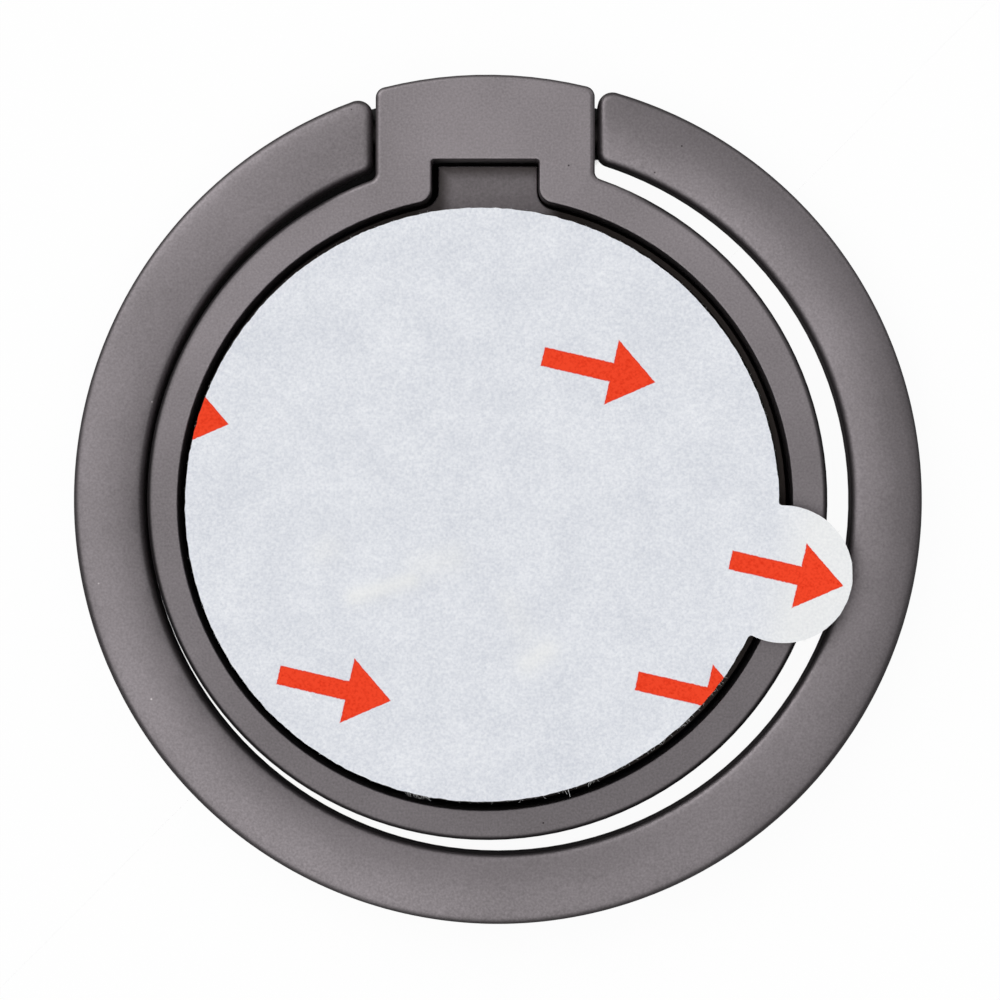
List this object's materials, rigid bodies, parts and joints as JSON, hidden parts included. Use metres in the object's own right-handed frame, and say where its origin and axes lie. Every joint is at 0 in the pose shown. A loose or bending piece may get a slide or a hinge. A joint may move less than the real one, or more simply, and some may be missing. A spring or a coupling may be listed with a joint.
{
  "type": "phone ring holder",
  "caption": "Stick-on phone ring holder: a metal finger ring hinged on a round swivelling body, with a foam pad and a paper liner with a pull tab.",
  "frame": {"origin": "on the swivel axis, at the flat front face that it lies on", "axes": "+Z along the swivel axis out of the stick-on face, +Y from the swivel axis to the hinge, +X along the hinge axle"},
  "size_m": [0.04, 0.04, 0.004],
  "materials": {
    "gunmetal": "satin",
    "steel": "satin",
    "washer_plastic": "matte",
    "foam": "matte",
    "liner_paper": "matte"
  },
  "bodies": {
    "base": {"base_disc": "steel", "slip_washer": "washer_plastic", "adhesive_pad": "foam", "release_liner": "liner_paper"},
    "turning_body": {"hinge_frame": "gunmetal", "front_plate": "gunmetal", "swivel_rivet": "steel", "disc_spring": "steel"},
    "ring": {"finger_ring": "gunmetal", "hinge_axle": "steel"}
  },
  "joints": [
    {"name": "swivel", "type": "hinge", "parent": "base", "child": "turning_body", "pos_m": [0, 0, 0], "axis": [0, 0, 1], "continuous": true},
    {"name": "ring_flip", "type": "hinge", "parent": "turning_body", "child": "ring", "pos_m": [0, 0.01743, 0.0016], "axis": [1, 0, 0], "range_deg": [0, 180]}
  ]
}
